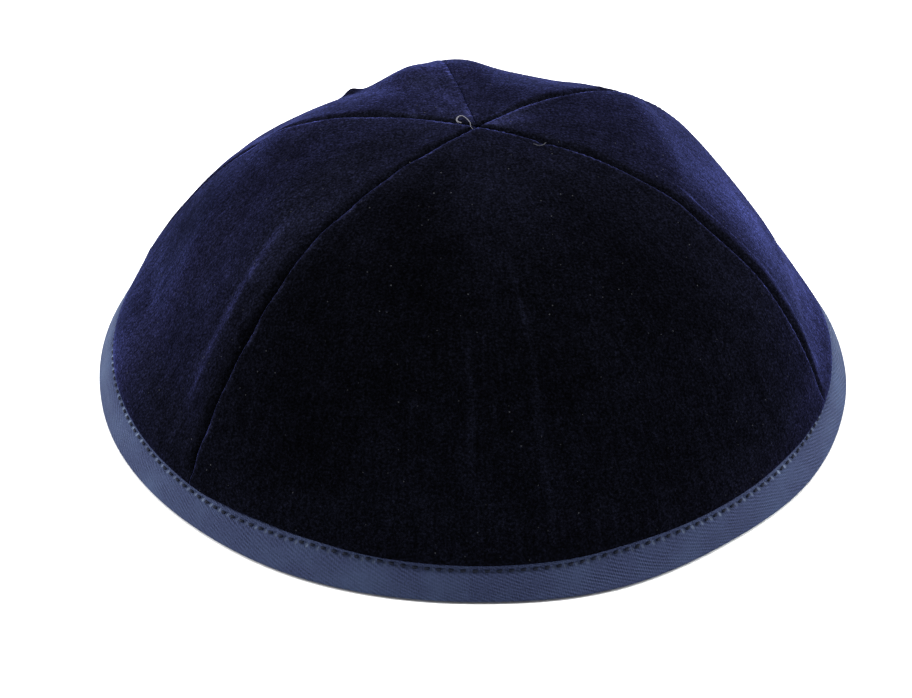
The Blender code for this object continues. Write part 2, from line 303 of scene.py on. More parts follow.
def makeMesh(name, points, quads, materials, slots=None, uv=None, attributes=()):
    mesh = bpy.data.meshes.new(name)
    mesh.vertices.add(len(points))
    mesh.vertices.foreach_set("co", np.ascontiguousarray(points, dtype=np.float32).ravel())
    mesh.loops.add(quads.size)
    mesh.loops.foreach_set("vertex_index", np.ascontiguousarray(quads, dtype=np.int32).ravel())
    mesh.polygons.add(len(quads))
    mesh.polygons.foreach_set("loop_start", np.arange(0, quads.size, 4, dtype=np.int32))
    for material in materials:
        mesh.materials.append(material)
    if slots is not None:
        mesh.polygons.foreach_set("material_index", np.asarray(slots, dtype=np.int32))
    if uv is not None:
        layer = mesh.uv_layers.new(name="alongTape")
        layer.data.foreach_set("uv", np.ascontiguousarray(uv, dtype=np.float32).ravel())
    for key, values in attributes:
        mesh.attributes.new(key, "FLOAT", "POINT").data.foreach_set("value", values.astype(np.float32).ravel())
    mesh.update(calc_edges=True)
    mesh.validate()
    mesh.shade_smooth()
    piece = bpy.data.objects.new(name, mesh)
    bpy.context.scene.collection.objects.link(piece)
    return piece


# materials


def newMaterial(name):
    material = bpy.data.materials.new(name)
    material.use_nodes = True
    nodes, links = material.node_tree.nodes, material.node_tree.links
    return material, nodes, links, nodes["Principled BSDF"]


def mathNode(nodes, links, kind, *values):
    node = nodes.new("ShaderNodeMath")
    node.operation = kind
    for socket, value in zip(node.inputs, values):
        if isinstance(value, (int, float)):
            socket.default_value = value
        else:
            links.new(value, socket)
    return node.outputs[0]


def noiseNode(nodes, links, vector, scale, detail, roughness=0.5, distortion=0.0):
    node = nodes.new("ShaderNodeTexNoise")
    node.inputs["Scale"].default_value = scale
    node.inputs["Detail"].default_value = detail
    node.inputs["Roughness"].default_value = roughness
    node.inputs["Distortion"].default_value = distortion
    links.new(vector, node.inputs["Vector"])
    return node


def rampNode(nodes, links, value, stops):
    node = nodes.new("ShaderNodeValToRGB")
    ramp = node.color_ramp
    ramp.elements[0].position, ramp.elements[0].color = stops[0][0], (*stops[0][1], 1)
    ramp.elements[1].position, ramp.elements[1].color = stops[-1][0], (*stops[-1][1], 1)
    for place, colour in stops[1:-1]:
        ramp.elements.new(place).color = (*colour, 1)
    links.new(value, node.inputs["Fac"])
    return node.outputs["Color"]


def mixColour(nodes, links, factor, first, second, blend="MIX"):
    node = nodes.new("ShaderNodeMix")
    node.data_type = "RGBA"
    node.blend_type = blend
    for socket, value in zip((node.inputs[0], node.inputs[6], node.inputs[7]), (factor, first, second)):
        if isinstance(value, (int, float)):
            socket.default_value = value
        elif isinstance(value, tuple):
            socket.default_value = (*value, 1)
        else:
            links.new(value, socket)
    return node.outputs[2]


def bumpNode(nodes, links, height, distance, strength=1.0, normal=None):
    node = nodes.new("ShaderNodeBump")
    node.inputs["Strength"].default_value = strength
    node.inputs["Distance"].default_value = distance
    links.new(height, node.inputs["Height"])
    if normal is not None:
        links.new(normal, node.inputs["Normal"])
    return node.outputs["Normal"]


velvetLook = {
    "facing": (0.0019, 0.0021, 0.0036),         # the pile seen end on; lighter towards the edge as the cloth turns from the view, a painted sheen
    "slanted": (0.0023, 0.0025, 0.0050),
    "turned": (0.0036, 0.0039, 0.0108),
    "grazed": (0.0080, 0.0095, 0.0290),         # painted sheen where the cloth is seen along its surface
    "edge": (0.0160, 0.0190, 0.0580),
    "tintDark": (1.08, 1.04, 0.88),             # darker stops duller, lighter stops bluer, painted light too
    "tintLight": (0.92, 0.94, 1.13),
    "lint": (0.0400, 0.0420, 0.0480),
    "sheenTint": (0.36, 0.42, 0.95),
    "sheenWeight": 0.02,
    "sheenRoughness": 0.22,
    "patchSize": 0.017,
    "patchStops": 1.5,
    "mottleSize": 0.0032,
    "mottleStops": 1.9,
    "pileSize": 0.00050,
    "pileStops": 6.4,
    "streakWidth": 0.0011,
    "streakLength": 0.011,
    "streakStops": 1.6,
    "lintSize": 0.0021,
}


def stopsFrom(nodes, links, value, stops):
    # a noise around one half as a number of stops lighter or darker
    return mathNode(nodes, links, "MULTIPLY_ADD", value, stops, -stops / 2)


def makeVelvet():
    # lightness doubles with each stop of patches, mottle, streaks, pile and the stored pile lean and painted light
    look = velvetLook
    material, nodes, links, shader = newMaterial("navyVelvet")
    place = nodes.new("ShaderNodeTexCoord").outputs["Object"]
    patches = noiseNode(nodes, links, place, 1 / look["patchSize"], 5, 0.6, 0.6).outputs["Fac"]
    mottle = noiseNode(nodes, links, place, 1 / look["mottleSize"], 4, 0.65, 0.3).outputs["Fac"]
    pile = noiseNode(nodes, links, place, 1 / look["pileSize"], 2, 0.6).outputs["Fac"]
    along = nodes.new("ShaderNodeUVMap")
    along.uv_map = "alongTape"
    stretch = nodes.new("ShaderNodeMapping")
    stretch.inputs["Scale"].default_value = (1 / look["streakWidth"], 1 / look["streakLength"], 1)
    links.new(along.outputs["UV"], stretch.inputs["Vector"])
    streaks = noiseNode(nodes, links, stretch.outputs["Vector"], 1.0, 3, 0.55, 0.4).outputs["Fac"]
    pileAndPaintedLight = nodes.new("ShaderNodeAttribute")
    pileAndPaintedLight.attribute_name = "pileAndPaintedLight"
    stops = pileAndPaintedLight.outputs["Fac"]
    for value, amount in ((patches, "patchStops"), (mottle, "mottleStops"), (streaks, "streakStops"),
                          (pile, "pileStops")):
        stops = mathNode(nodes, links, "ADD", stops, stopsFrom(nodes, links, value, look[amount]))
    factor = mathNode(nodes, links, "POWER", 2.0, stops)
    bluer = mathNode(nodes, links, "MULTIPLY_ADD", stops, 0.30, 0.45)
    bluer.node.use_clamp = True
    # the base colour lightens as the cloth turns away from the view: a painted sheen
    facing = nodes.new("ShaderNodeLayerWeight")
    facing.inputs["Blend"].default_value = 0.5
    base = rampNode(nodes, links, facing.outputs["Facing"], [
        (0.0, look["facing"]), (0.40, look["slanted"]), (0.64, look["turned"]), (0.82, look["grazed"]),
        (1.0, look["edge"])])
    base = mixColour(nodes, links, 1.0, base, factor, "MULTIPLY")
    tint = mixColour(nodes, links, bluer, look["tintDark"], look["tintLight"])
    base = mixColour(nodes, links, 1.0, base, tint, "MULTIPLY")
    # specks of lint: the middles of a few small cells
    cells = nodes.new("ShaderNodeTexVoronoi")
    cells.inputs["Scale"].default_value = 1 / look["lintSize"]
    links.new(place, cells.inputs["Vector"])
    chosen = nodes.new("ShaderNodeSeparateColor")
    links.new(cells.outputs["Color"], chosen.inputs["Color"])
    near = mathNode(nodes, links, "LESS_THAN", cells.outputs["Distance"], 0.075)
    few = mathNode(nodes, links, "GREATER_THAN", chosen.outputs["Red"], 0.45)
    speck = mathNode(nodes, links, "MULTIPLY", near, few)
    speck = mathNode(nodes, links, "MULTIPLY", speck, mathNode(nodes, links, "MULTIPLY", chosen.outputs["Green"], 0.75))
    base = mixColour(nodes, links, speck, base, look["lint"])
    links.new(base, shader.inputs["Base Color"])
    shader.inputs["Roughness"].default_value = 1.0
    shader.inputs["Specular IOR Level"].default_value = 0.0
    shader.inputs["Sheen Weight"].default_value = look["sheenWeight"]
    shader.inputs["Sheen Roughness"].default_value = look["sheenRoughness"]
    shader.inputs["Sheen Tint"].default_value = (*look["sheenTint"], 1)
    crushed = bumpNode(nodes, links, mottle, 0.00040, 0.5)
    links.new(bumpNode(nodes, links, pile, 0.00016, 0.9, crushed), shader.inputs["Normal"])
    links.new(crushed, facing.inputs["Normal"])
    return material


backingLook = {"thread": (0.0060, 0.0070, 0.0230), "gap": (0.0020, 0.0022, 0.0080), "pitch": 0.00055}


def makeBacking():
    # the cloth's plain woven back: two crossing sets of fine ribs
    look = backingLook
    material, nodes, links, shader = newMaterial("clothBacking")
    place = nodes.new("ShaderNodeTexCoord").outputs["Object"]
    axes = nodes.new("ShaderNodeSeparateXYZ")
    links.new(place, axes.inputs[0])
    turn = math.tau / look["pitch"]
    ribX = mathNode(nodes, links, "SINE", mathNode(nodes, links, "MULTIPLY", axes.outputs["X"], turn))
    ribY = mathNode(nodes, links, "SINE", mathNode(nodes, links, "MULTIPLY", axes.outputs["Y"], turn))
    weave = mathNode(nodes, links, "MULTIPLY", ribX, ribY)
    height = mathNode(nodes, links, "MULTIPLY_ADD", weave, 0.5, 0.5)
    cloud = noiseNode(nodes, links, place, 180, 4, 0.6).outputs["Fac"]
    tone = mathNode(nodes, links, "MULTIPLY", height, cloud)
    links.new(rampNode(nodes, links, tone, [(0.05, look["gap"]), (0.6, look["thread"])]), shader.inputs["Base Color"])
    shader.inputs["Roughness"].default_value = 0.85
    shader.inputs["Specular IOR Level"].default_value = 0.25
    shader.inputs["Sheen Weight"].default_value = 0.15
    links.new(bumpNode(nodes, links, height, 0.00008, 0.6), shader.inputs["Normal"])
    return material


twillLook = {
    "high": (0.0365, 0.0480, 0.1070),
    "low": (0.0072, 0.0100, 0.0275),
    "faded": (0.0440, 0.0640, 0.1250),
    "linePitch": 0.00066,
    "lineTurn": 20.0,
    "yarnPitch": 0.00048,
    "keptSpread": 3.2,          # the ribs' own strength: noise times spread plus base
    "keptBase": -0.95,
    # the pale speck at the needle holes: under thread with a painted highlight
    "speck": (0.130, 0.165, 0.240),
    "speckRadius": 0.00042,
    "speckPlace": 0.00142,      # down from the tape's upper edge
    "holePitch": math.tau * crown["rimRadius"] / 205,
    "sheenTint": (0.48, 0.70, 1.0),
}


def makeTwill():
    # diagonal ribs: a sine across the ribs, broken along them by the yarns that cross
    look = twillLook
    material, nodes, links, shader = newMaterial("slateTwill")
    tape = nodes.new("ShaderNodeUVMap")
    tape.uv_map = "alongTape"
    warp = noiseNode(nodes, links, tape.outputs["UV"], 260, 2, 0.5)
    axes = nodes.new("ShaderNodeSeparateXYZ")
    links.new(tape.outputs["UV"], axes.inputs[0])
    turn = math.radians(look["lineTurn"])

    def across(angle, pitch, sway):
        # distance across a set of parallel lines, in turns, with a little sway
        u = mathNode(nodes, links, "MULTIPLY", axes.outputs["X"], math.sin(angle) * math.tau / pitch)
        v = mathNode(nodes, links, "MULTIPLY_ADD", axes.outputs["Y"], -math.cos(angle) * math.tau / pitch, u)
        return mathNode(nodes, links, "MULTIPLY_ADD", warp.outputs["Fac"], sway, v)

    rib = mathNode(nodes, links, "SINE", across(turn, look["linePitch"], 3.4))
    yarn = mathNode(nodes, links, "SINE", across(turn + math.radians(62), look["yarnPitch"], 1.4))
    height = mathNode(nodes, links, "MULTIPLY_ADD", yarn, 0.55, rib)
    # worn down in places, so that the ribs come and go
    kept = mathNode(nodes, links, "MULTIPLY_ADD", noiseNode(nodes, links, tape.outputs["UV"], 330, 3, 0.6).outputs["Fac"],
                    look["keptSpread"], look["keptBase"])
    height = mathNode(nodes, links, "MULTIPLY", height, mathNode(nodes, links, "MAXIMUM", kept, 0.05))
    height = mathNode(nodes, links, "MULTIPLY_ADD", height, 0.42, 0.5)
    fuzz = noiseNode(nodes, links, tape.outputs["UV"], 2600, 3, 0.7).outputs["Fac"]
    cloud = noiseNode(nodes, links, tape.outputs["UV"], 70, 4, 0.6).outputs["Fac"]
    tone = mathNode(nodes, links, "MULTIPLY_ADD", fuzz, 1.50, mathNode(nodes, links, "MULTIPLY_ADD", height, 0.50, -0.60))
    base = rampNode(nodes, links, tone, [(0.0, look["low"]), (0.75, look["high"])])
    worn = mathNode(nodes, links, "MULTIPLY_ADD", cloud, 1.8, -0.80)
    base = mixColour(nodes, links, mathNode(nodes, links, "MAXIMUM", worn, 0.0), base, look["faded"])
    # a pale round speck at each needle hole, partly the under thread and partly a painted highlight: one less
    # the squared distance to the hole over the squared radius, fainter where the cloud noise is low
    turns = mathNode(nodes, links, "MULTIPLY", axes.outputs["X"], math.pi / look["holePitch"])
    aside = mathNode(nodes, links, "MULTIPLY", mathNode(nodes, links, "SINE", turns),
                     look["holePitch"] / math.pi / look["speckRadius"])
    above = mathNode(nodes, links, "MULTIPLY_ADD", axes.outputs["Y"], 1 / look["speckRadius"],
                     -look["speckPlace"] / look["speckRadius"])
    away = mathNode(nodes, links, "MULTIPLY_ADD", aside, aside, mathNode(nodes, links, "MULTIPLY", above, above))
    speck = mathNode(nodes, links, "MAXIMUM", mathNode(nodes, links, "MULTIPLY_ADD", away, -1.0, 1.0), 0.0)
    shown = mathNode(nodes, links, "MAXIMUM", mathNode(nodes, links, "MULTIPLY_ADD", cloud, 4.0, -1.4), 0.15)
    # and nearly gone at the front, painted shade where less light falls: a high power of the cosine of the place round
    # the rim
    frontShade = mathNode(nodes, links, "COSINE", mathNode(nodes, links, "DIVIDE", axes.outputs["X"], crown["rimRadius"]))
    frontShade = mathNode(nodes, links, "POWER", mathNode(nodes, links, "MAXIMUM", frontShade, 0.0), 8.0)
    shown = mathNode(nodes, links, "MULTIPLY", shown, mathNode(nodes, links, "MULTIPLY_ADD", frontShade, -0.85, 1.0))
    speck = mathNode(nodes, links, "MINIMUM", mathNode(nodes, links, "MULTIPLY", speck, shown), 1.0)
    base = mixColour(nodes, links, speck, base, look["speck"])
    links.new(base, shader.inputs["Base Color"])
    shader.inputs["Roughness"].default_value = 0.82
    shader.inputs["Specular IOR Level"].default_value = 0.08
    shader.inputs["Sheen Weight"].default_value = 0.125
    shader.inputs["Sheen Roughness"].default_value = 0.35
    shader.inputs["Sheen Tint"].default_value = (*look["sheenTint"], 1)
    ribs = bumpNode(nodes, links, height, 0.00010, 1.0)
    links.new(bumpNode(nodes, links, fuzz, 0.00005, 0.7, ribs), shader.inputs["Normal"])
    return material


def makeThread(name, colour, other, roughness):
    # twisted thread: fine slanting plies along its own length
    material, nodes, links, shader = newMaterial(name)
    tape = nodes.new("ShaderNodeUVMap")
    tape.uv_map = "alongTape"
    axes = nodes.new("ShaderNodeSeparateXYZ")
    links.new(tape.outputs["UV"], axes.inputs[0])
    u = mathNode(nodes, links, "MULTIPLY", axes.outputs["X"], math.tau / 0.00035)
    v = mathNode(nodes, links, "MULTIPLY_ADD", axes.outputs["Y"], math.tau * 2, u)
    ply = mathNode(nodes, links, "MULTIPLY_ADD", mathNode(nodes, links, "SINE", v), 0.5, 0.5)
    links.new(mixColour(nodes, links, ply, other, colour), shader.inputs["Base Color"])
    shader.inputs["Roughness"].default_value = roughness
    shader.inputs["Specular IOR Level"].default_value = 0.15
    links.new(bumpNode(nodes, links, ply, 0.00003, 0.7), shader.inputs["Normal"])
    return material


velvet = makeVelvet()
backing = makeBacking()
twill = makeTwill()
stitchThread = makeThread("navyThread", (0.0065, 0.0100, 0.0240), (0.0024, 0.0038, 0.0095), 0.8)
paleThread = makeThread("paleThread", (0.165, 0.165, 0.190), (0.075, 0.077, 0.095), 0.8)
# the pale thread painted darker, as painted shade, for the seam's wisp
shadedPaleThread = makeThread("shadedPaleThread", (0.055, 0.056, 0.066), (0.028, 0.030, 0.038), 0.8)
print("materials made")


# velvet panels


def seamWander(seam, up):
    # a sum of four seeded sine waves up the seam, from about -1 to 1
    draw = np.random.default_rng(seam["seed"])
    total = 0.0
    for wave in range(4):
        length = draw.uniform(0.009, 0.032)
        total = total + np.sin(math.tau * (up / length + draw.uniform()))
    return total / 2.5


def seamRelief(edges, room, up):
    # the proud edge rolls in as a quarter circle, the other dips under it as a power curve, and a low
    # terrace lies over the pressed allowance; small sine puckers fade out from the needle's line
    shown = smooth((up - crown["bindingWidth"]) / crown["swellLength"])
    part = aboveBinding(up)
    # the lean returned here is painted light and shade in the velvet's colour
    depth, lean = 0.0, 0.0
    for edge, seam, pressed in edges:
        reach = np.minimum(1.0, 0.4 * room / (seam["width"] + seam["fade"]))
        wander = seamWander(seam, up)
        pucker = np.sin(math.tau * up / relief["puckerPitch"] + 2 * wander + (1.3 if pressed else 0.0))
        fade = np.exp(-edge / relief["puckerReach"])
        depth = depth + relief["puckerDepth"] * pucker * fade
        if pressed:
            under = np.clip(1 - edge / (relief["underWidth"] * np.sqrt(reach) * (1 + 0.3 * wander)), 0, 1)
            depth = depth + seam["deep"] * relief["underDepth"] * (1 + 0.25 * wander) * under**2.2
            first, last = seam["shown"]
            visible = smooth((part - first) / 0.12) * smooth((last - part) / 0.20) * reach**2
            terrace = smooth(0.5 + (seam["width"] * reach - edge) / seam["fade"]) * smooth(edge / 0.0030)
            depth = depth - seam["rise"] * visible * terrace
            ridge = np.exp(-((edge - seam["width"] * reach) / (0.62 * seam["fade"])) ** 2)
            ridge = ridge * (1 + 0.3 * wander)
            # painted highlight along the ridge; painted shade on the terrace beside the seam and in the dip under the
            # proud edge
            lean = lean + visible * (seam["ridgeHighlight"] * ridge - 0.15 * terrace * (1 - ridge)) - 0.35 * seam["deep"] * under
        else:
            rolled = np.clip(1 - edge / relief["proudWidth"], 0, 1)
            depth = depth + seam["deep"] * relief["proudDepth"] * (1 - np.sqrt(1 - rolled**2))
            # painted highlight along the proud edge where it rolls in
            lean = lean + (0.70 + 0.40 * pucker + 0.70 * wander) * np.exp(-((edge - 0.0006) / 0.0005) ** 2)
    return depth * shown, lean * shown


def creaseRelief(azimuth, up):
    # a low rounded ridge along each crease's path, with a highlight painted along it
    part = aboveBinding(up)
    radius = wallPoint(up)[0]
    depth, lean = 0.0, 0.0
    for crease in creases:
        places = np.array(crease["path"])
        path = np.interp(part, places[:, 0], places[:, 1])
        away = np.radians(azimuth - path) * radius / crease["halfWidth"]
        ends = smooth((part - crease["from"]) / 0.05) * smooth((crease["to"] - part) / 0.10)
        ridge = np.exp(-np.abs(away) ** 1.5) * ends
        depth = depth - crease["rise"] * ridge
        lean = lean + 0.9 * ridge
    return depth, lean


def lightAndDarkSpots(azimuth, up):
    # partly brushed pile, partly painted sheen and shade, in stops: soft spots (azimuth, reach, place, reach, stops)
    part = aboveBinding(up)
    spots = [
        (0.0, 40.0, 0.44, 0.18, -0.86), (-32.0, 14.0, 0.20, 0.18, -0.97), (48.0, 14.0, 0.44, 0.18, -0.80),
        (-24.0, 14.0, 0.68, 0.18, -1.08), (40.0, 24.0, 0.12, 0.18, -0.43), (-56.0, 8.0, 0.52, 0.18, 0.98),
        (-152.0, 24.0, 0.76, 0.18, 0.97), (-80.0, 8.0, 0.04, 0.18, 1.03), (96.0, 14.0, 0.36, 0.18, 0.99),
        (-40.0, 8.0, 0.52, 0.18, -0.54), (-96.0, 8.0, 0.28, 0.10, -1.03), (40.0, 14.0, 0.68, 0.18, -0.50),
        (-8.0, 8.0, 0.60, 0.05, -0.70), (-112.0, 40.0, 0.92, 0.10, 0.96), (120.0, 24.0, 0.92, 0.05, 1.55),
        (96.0, 40.0, 0.04, 0.05, 0.72), (-72.0, 8.0, 0.36, 0.18, 0.45), (-104.0, 8.0, 0.60, 0.18, 0.76),
        (-163.0, 22.0, 0.945, 0.025, 1.00), (100.0, 22.0, 0.955, 0.025, 0.90),
    ]
    lean = 0.11
    for turn, turnReach, place, placeReach, amount in spots:
        away = ((azimuth - turn + 180.0) % 360.0 - 180.0) / turnReach
        lean = lean + amount * np.exp(-away**2 - ((part - place) / placeReach) ** 2)
    return lean


def hemPlace(azimuth, cloth, depth):
    # the hem's way over the binding's edge: the resting fold's curve blends into the hanging fold's by
    # azimuth, and both blend into the plain wall higher up
    resting, hanging = np.array(restingFold) / 1000, np.array(hangingFold) / 1000
    above = cloth - crown["bindingWidth"]
    inFold = np.clip(above, 0, hanging[-1, 0])
    share = byAzimuth(azimuth, overhangs)
    places = []
    for column in (1, 2):
        rest = through(inFold, resting[:, 0], resting[:, column])
        places.append(rest + share * (through(inFold, hanging[:, 0], hanging[:, column]) - rest))
    folded = (above > 0) * (1 - smooth((above - hanging[-3, 0]) / (hanging[-1, 0] - hanging[-3, 0])))
    up = cloth + folded * (places[0] - cloth)
    rise = byAzimuth(azimuth, edgeRise) / 1000 * (1 - smooth(above / 0.012))
    return up + rise, depth + folded * (places[1] - depth)


def makePanel(index):
    # rows run up the wall and columns run across from seam to seam, closer together beside the seams
    panel = panels[index]
    pinch = crown["bindingWall"] + crown["gap"]
    tip = 0.00045
    cloth = np.concatenate([np.linspace(pinch, crown["bindingWidth"], 6)[:-1],
                            np.linspace(crown["bindingWidth"], 0.0145, 33)[:-1],
                            np.linspace(0.0145, wallLength - tip, panel["rows"] - 37)])
    cloth = cloth[:, None] * np.ones(panel["columns"])
    nominal = np.linspace(seamAzimuth(index), seamAzimuth(index + 1), panel["columns"])
    face = pinch * (1 - smooth((cloth - crown["bindingWidth"] - crown["gap"]) / crown["swellLength"]))
    up, face = hemPlace(nominal, cloth, face)
    radius = wallPoint(up)[0]
    calm = smooth((up - crown["bindingWidth"]) / 0.006) * smooth((wallLength - up) / 0.010)
    swayed = [np.degrees(relief["seamSway"] * calm * seamWander(seams[k % 5], up) / radius) for k in (index, index + 1)]
    start, end = seamAzimuth(index) + swayed[0], seamAzimuth(index + 1) + swayed[1]
    aside = np.degrees(np.arcsin(crown["gap"] / 2 / radius))
    room = np.radians(end - start - 2 * aside) * radius
    step = np.linspace(0, 1, panel["columns"])
    spread = 0.72 * (0.5 - 0.5 * np.cos(np.pi * step)) + 0.28 * step
    edge = room * spread
    azimuth = start + aside + np.degrees(edge / radius)
    nearSeam, farSeam = seams[index], seams[(index + 1) % 5]
    edges = ((edge, nearSeam, nearSeam["pressed"] > 0), (room - edge, farSeam, farSeam["pressed"] < 0))
    seamDepth, seamLightAndShade = seamRelief(edges, room, up)
    creaseDepth, creaseHighlight = creaseRelief(azimuth, up) if index == 0 else (0.0, 0.0)
    loose = smooth((up - crown["bindingWidth"]) / 0.008)
    waves = relief["waveDepth"] * softWaves(azimuth, up) * loose * smooth((wallLength - up) / 0.02)
    outer = crownPoint(index, azimuth, up, face + seamDepth + creaseDepth + waves)
    plain = pinch * (1 - smooth((cloth - crown["bindingWidth"] - crown["gap"]) / crown["swellLength"]))
    # inside, the panels are a little wider and meet at the seams, so that no light comes through
    middle = (start + end) / 2
    wider = (end - start + 2 * np.degrees(relief["insideLap"] / radius)) / (end - start - 2 * aside)
    inner = crownPoint(index, middle + (azimuth - middle) * wider, cloth, plain + crown["clothWall"])
    points = np.vstack([outer.reshape(-1, 3), inner.reshape(-1, 3)])
    rows, columns = up.shape
    below = rows * columns
    number = np.arange(below).reshape(rows, columns)
    rims = []
    for line, flip in ((number[0], True), (number[-1], False), (number[:, 0], False), (number[:, -1], True)):
        strip = np.stack([line[:-1], line[1:], line[1:] + below, line[:-1] + below], -1)
        rims.append(strip[:, ::-1] if flip else strip)
    outerQuads = gridFaces(rows, columns)
    innerQuads = gridFaces(rows, columns, below, flip=True)
    quads = np.vstack([outerQuads, innerQuads] + rims)
    slots = np.zeros(len(quads), dtype=int)
    slots[len(outerQuads):len(outerQuads) + len(innerQuads)] = 1
    # the velvet's lightness in stops: brushed pile, and painted highlights and shade at the seams and creases
    lean = seamLightAndShade + creaseHighlight + lightAndDarkSpots(azimuth, up)
    lean = np.concatenate([lean.ravel(), np.zeros(below)])
    across = np.radians(azimuth - (start + end) / 2) * (0.4 * radius + 0.6 * crown["rimRadius"])
    laid = np.tile(np.stack([across.ravel(), cloth.ravel()], -1), (2, 1))
    piece = makeMesh(panel["name"], points, quads, [velvet, backing], slots, laid[quads],
                     attributes=[("pileAndPaintedLight", lean)])
    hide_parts(panel["node"])
    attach(piece, "root")


for panelIndex in range(len(panels)):
    makePanel(panelIndex)
print("velvet panels made")


# the twill binding and its stitches
binding = {
    "stitches": 205,
    "stepsPerStitch": 8,
    "stitchFromTop": 0.0015,
    "grooveDepth": 0.00030,
    "grooveWidth": 0.00060,
    "holeDepth": 0.00030,
    "foldRise": 0.0007,
    "bulge": 0.00032,
    "lipRound": 0.00035,
    "scallop": 0.00008,
    "widthSway": 0.00004,
    "flareHeight": 0.0028,
}
# how far the fold is trodden outwards at the rim, in mm by azimuth
rimFlare = [
    (-180, 0.2), (-110, 0.1), (-85, 0.1), (-65, 0.4), (-45, 0.42), (-27, 0.70), (0, 0.12), (20, 0.85), (40, 0.0),
    (60, 0.85), (80, 0.6), (100, 0.15), (112, 0.0), (140, 0.2), (180, 0.2),
]
stackDepth = 2 * (crown["bindingWall"] + crown["gap"]) + crown["clothWall"]
stitchUp = crown["bindingWidth"] - binding["stitchFromTop"]


def bindingProfile():
    # depth and distance up of the tape's closed section: down the outer side, round under the cloth's
    # edge as half an ellipse, up the inner side, over the lip and back along the hidden faces
    top, wall = crown["bindingWidth"], crown["bindingWall"]
    rise, lip = binding["foldRise"], binding["lipRound"]
    down = np.linspace(top - lip, rise, 21)
    bulge = -binding["bulge"] * np.sin(np.pi * (top - lip - down) / (top - lip - rise)) ** 2
    turn = np.linspace(0, np.pi, 11)[1:-1]
    fold = np.stack([stackDepth / 2 * (1 - np.cos(turn)), rise * (1 - np.sin(turn))], -1)
    climb = np.concatenate([np.linspace(rise, 0.0052, 3)[:-1], np.linspace(0.0052, top - lip, 8)])
    inside = np.stack([np.full_like(climb, stackDepth), climb], -1)
    lipTurn = np.linspace(0, np.pi, 6)[1:-1]
    innerLip = np.stack([stackDepth - wall / 2 + wall / 2 * np.cos(lipTurn),
                         top - lip + lip * np.sin(lipTurn)], -1)
    hidden = np.array([[stackDepth - wall, top - lip], [stackDepth - wall, top / 2], [stackDepth - wall, wall],
                       [wall, wall], [wall, top / 2], [wall, top - lip]])
    outerLip = np.stack([wall / 2 + wall / 2 * np.cos(lipTurn), top - lip + lip * np.sin(lipTurn)], -1)
    return np.vstack([np.stack([bulge, down], -1), fold, inside, innerLip, hidden, outerLip])


def stitchedDepth(azimuth, up):
    # a shallow groove along the stitch line, deeper at each needle hole
    turns = np.radians(azimuth) * binding["stitches"]
    away = np.exp(-((up - stitchUp) / binding["grooveWidth"]) ** 2)
    hole = np.clip(np.cos(turns), 0, 1) ** 3
    return away * (binding["grooveDepth"] + binding["holeDepth"] * hole)


def makeBinding():
    profile = bindingProfile()
    count = binding["stitches"] * binding["stepsPerStitch"]
    azimuth = (np.arange(count) * 360.0 / count)[:, None]
    depth, up = profile[:, 0][None, :], profile[:, 1][None, :]
    height = up / crown["bindingWidth"]
    sway = binding["widthSway"] * np.sin(np.radians(azimuth) * 11 + 2.1) + byAzimuth(azimuth, edgeRise) / 1000
    turns = np.radians(azimuth) * binding["stitches"]
    raised = smooth((height - 0.45) / 0.5)
    shownUp = up + raised * (sway + binding["scallop"] * np.cos(turns))
    outward = np.where(depth < stackDepth / 2, 1.0, -1.0)
    skin = (np.abs(depth - stackDepth / 2) > stackDepth / 2 - 0.55 * crown["bindingWall"]).astype(float)
    shownDepth = depth + outward * skin * stitchedDepth(azimuth, up)
    flare = byAzimuth(azimuth, rimFlare) / 1000
    shownDepth = shownDepth - flare * np.exp(-(up / binding["flareHeight"]) ** 2) * np.clip(1 - depth / stackDepth, 0, 1)
    points = crownPoint(None, azimuth + 0 * up, shownUp + 0 * azimuth, shownDepth)
    rows, columns = points.shape[:2]
    quads = gridFaces(rows + 1, columns, ringed=True) % (rows * columns)
    length = np.linalg.norm(np.diff(profile, axis=0, append=profile[:1]), axis=1)
    v = np.concatenate([[0], np.cumsum(length)])
    u = np.arange(rows + 1) * math.tau * crown["rimRadius"] / rows
    r, c = np.divmod(np.arange(rows * columns), columns)
    uv = np.stack([np.stack([u[r], v[c]], -1), np.stack([u[r], v[c + 1]], -1),
                   np.stack([u[r + 1], v[c + 1]], -1), np.stack([u[r + 1], v[c]], -1)], 1)
    piece = makeMesh("rimBindingTwill", points.reshape(-1, 3), quads, [twill], uv=uv)
    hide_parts("rim_binding")
    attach(piece, "root")


def tubeMesh(name, path, side, other, radius, material, lengths):
    # rings of six points carried along many short paths at once; the last ring at each end draws in
    count, steps = path.shape[:2]
    ringTurn = np.arange(6) * math.tau / 6
    ring = (np.cos(ringTurn)[:, None] * side[..., None, :] + np.sin(ringTurn)[:, None] * other[..., None, :])
    points = path[:, :, None, :] + ring * radius[..., None, None]
    quads = []
    base = gridFaces(steps, 6, ringed=True)
    first = (np.arange(count) * steps * 6)[:, None, None]
    quads.append((base[None] + first).reshape(-1, 4))
    for start, order in ((0, (0, 3, 2, 1)), (0, (0, 5, 4, 3)), ((steps - 1) * 6, (0, 1, 2, 3)),
                         ((steps - 1) * 6, (0, 3, 4, 5))):
        quads.append((np.array(order) + start)[None] + (np.arange(count) * steps * 6)[:, None])
    quads = np.vstack(quads)
    along = np.linspace(0, 1, steps)[None, :, None] * lengths
    u = np.broadcast_to(along, (count, steps, 6)).reshape(-1)
    v = np.broadcast_to(np.arange(6) / 6, (count, steps, 6)).reshape(-1)
    uv = np.stack([u[quads], v[quads]], -1)
    return makeMesh(name, points.reshape(-1, 3), quads, [material], uv=uv)


stitch = {"share": 0.56, "radius": 0.00033, "proud": 0.00002, "dip": 0.00030, "steps": 7}


